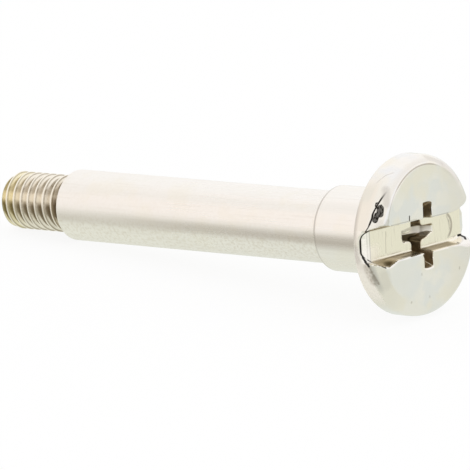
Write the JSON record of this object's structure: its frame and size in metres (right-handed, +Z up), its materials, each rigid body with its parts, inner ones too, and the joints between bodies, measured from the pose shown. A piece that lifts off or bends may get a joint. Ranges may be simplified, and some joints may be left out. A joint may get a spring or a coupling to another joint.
{
  "type": "shoulder bolt",
  "caption": "Plated steel shoulder bolt with a low flat head, a slot crossed with a cross recess, a short collar, a long plain shoulder and a threaded end.",
  "frame": {"origin": "bottom centre of the lying bolt's box, on the surface it lies on", "axes": "+X along the bolt's length towards the head, +Z up; the bolt's own axis dips towards the thread because it lies on the rim of its head and the end of its thread"},
  "size_m": [0.0454, 0.0132, 0.0133],
  "materials": {
    "nickel_plate": "satin nickel plate on turned steel"
  },
  "bodies": {
    "root": {"shoulder_bolt": "nickel_plate"}
  },
  "joints": []
}
